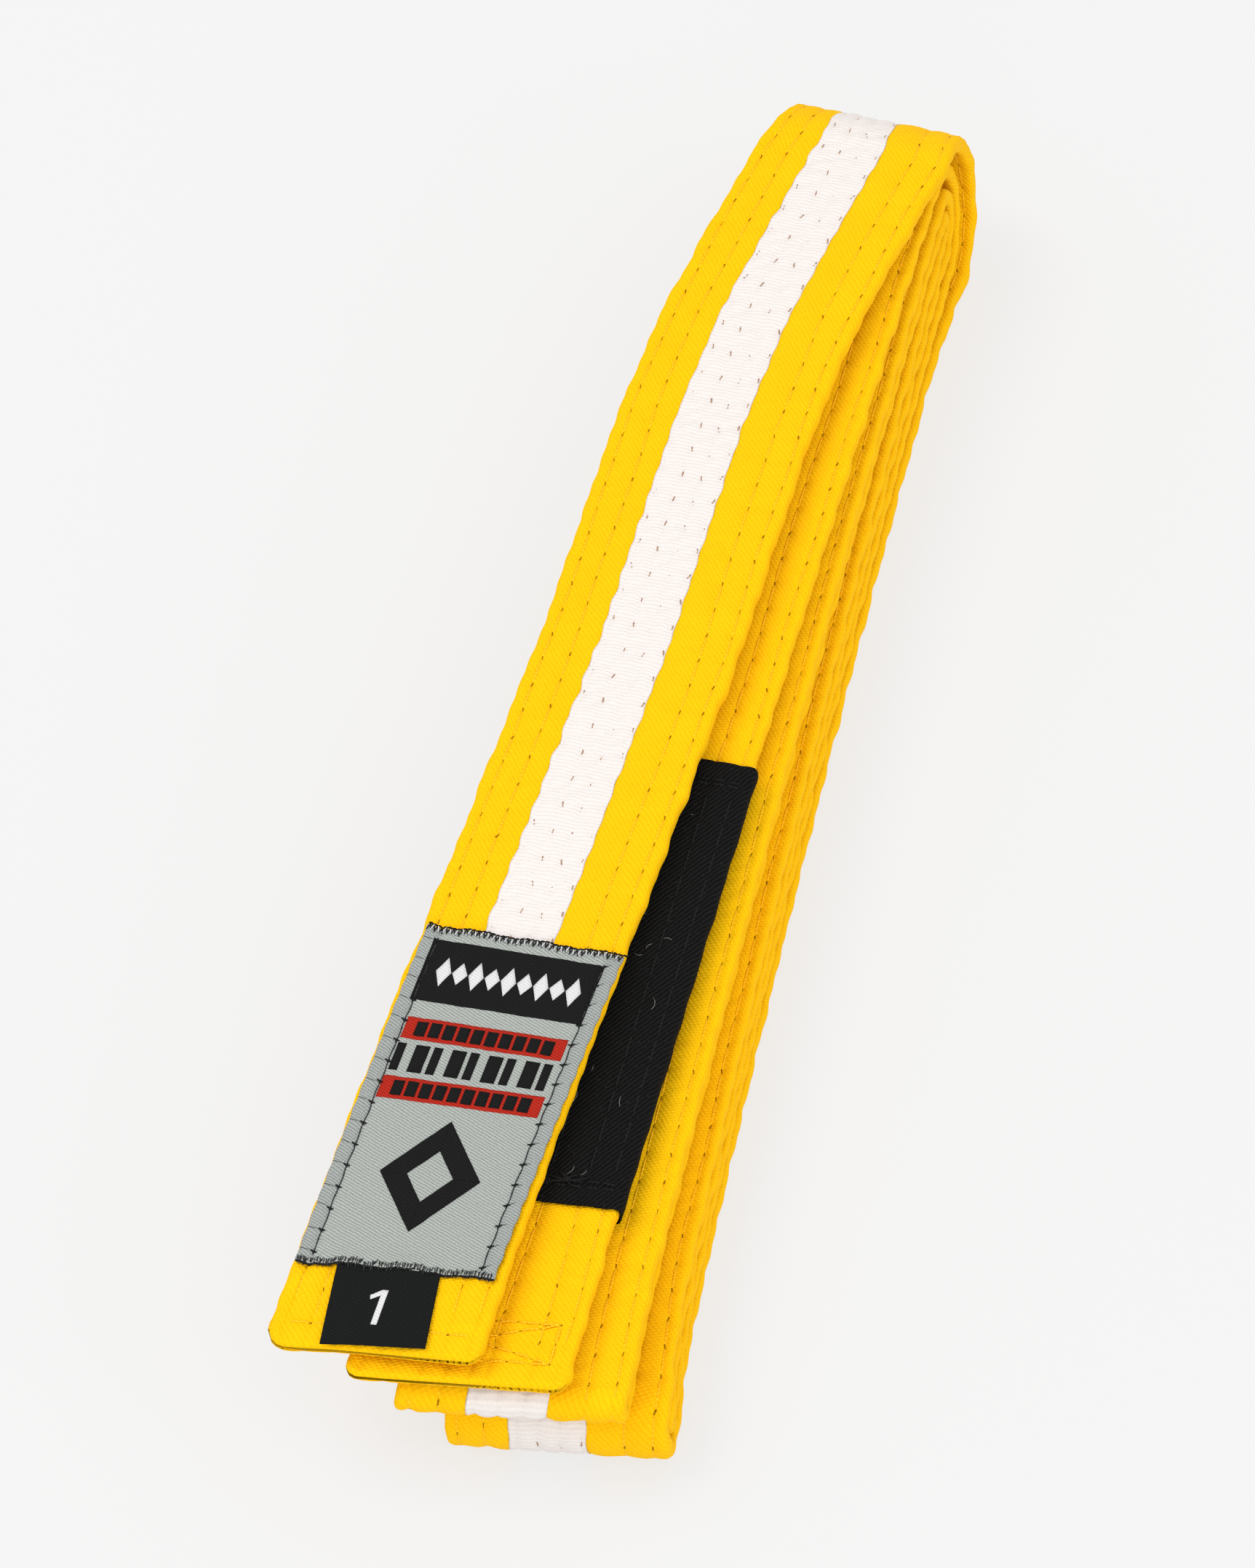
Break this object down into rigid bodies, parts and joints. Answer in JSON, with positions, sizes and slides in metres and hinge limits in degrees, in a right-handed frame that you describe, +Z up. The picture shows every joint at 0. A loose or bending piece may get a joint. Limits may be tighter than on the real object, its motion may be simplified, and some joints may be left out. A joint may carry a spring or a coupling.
{
  "type": "martial arts belt",
  "caption": "Padded, stitched martial arts belt with a centre stripe, rank sleeve, woven label and size tag, folded flat into a layered bundle.",
  "frame": {"origin": "middle of the bundle's footprint, on the surface that it lies on", "axes": "+Z up, +Y along the bundle from the two belt ends to the far turns, +X across it"},
  "size_m": [0.0698, 0.3174, 0.038],
  "materials": {
    "belt_twill": "dyed cotton twill",
    "core_batting": "undyed cotton batting",
    "stripe_tape": "white cotton tape",
    "sleeve_twill": "black cotton twill",
    "label_damask": "grey woven damask polyester",
    "tag_ribbon": "black woven ribbon",
    "black_thread": "polyester sewing thread",
    "yellow_thread": "polyester sewing thread"
  },
  "bodies": {
    "bundle": {"cover_lower_run": "belt_twill", "core_lower_run": "core_batting", "stripe_lower_run": "stripe_tape", "cover_middle_run": "belt_twill", "core_middle_run": "core_batting", "stripe_middle_run": "stripe_tape"},
    "middle_fold": {"cover_middle_fold": "belt_twill", "core_middle_fold": "core_batting", "stripe_middle_fold": "stripe_tape"},
    "end_b_page": {"cover_end_b": "belt_twill", "core_end_b": "core_batting", "stripe_end_b": "stripe_tape", "end_b_tuck": "belt_twill", "end_b_box_stitch": "yellow_thread", "rank_sleeve": "sleeve_twill", "sleeve_stitch_near": "black_thread", "sleeve_stitch_far": "black_thread"},
    "end_a_page": {"cover_end_a": "belt_twill", "core_end_a": "core_batting", "stripe_end_a": "stripe_tape", "end_a_tuck": "belt_twill", "woven_label": "label_damask", "label_overlock": "black_thread", "label_bottom_stitch": "black_thread", "label_stitch_left": "black_thread", "label_stitch_right": "black_thread"},
    "size_tag": {"size_tag": "tag_ribbon"}
  },
  "joints": [
    {"name": "end_a_lift", "type": "hinge", "parent": "bundle", "child": "end_a_page", "pos_m": [-0.0031, 0.11035, 0.0367], "axis": [-1, 0, 0], "range_deg": [0, 75]},
    {"name": "end_b_lift", "type": "hinge", "parent": "bundle", "child": "end_b_page", "pos_m": [0.0072, 0.10435, 0.0308], "axis": [-1, 0, 0], "range_deg": [0, 45]},
    {"name": "middle_fold_lift", "type": "hinge", "parent": "bundle", "child": "middle_fold", "pos_m": [0.0109, 0.09835, 0.0255], "axis": [-1, 0, 0], "range_deg": [0, 22.5]},
    {"name": "size_tag_flip", "type": "hinge", "parent": "end_a_page", "child": "size_tag", "pos_m": [-0.0172, -0.1421, 0.0376], "axis": [-1, 0, 0], "range_deg": [0, 150]}
  ],
  "couplings": [
    {"joint": "end_b_lift", "follows": "end_a_lift", "ratio": 0.6},
    {"joint": "middle_fold_lift", "follows": "end_a_lift", "ratio": 0.3}
  ]
}
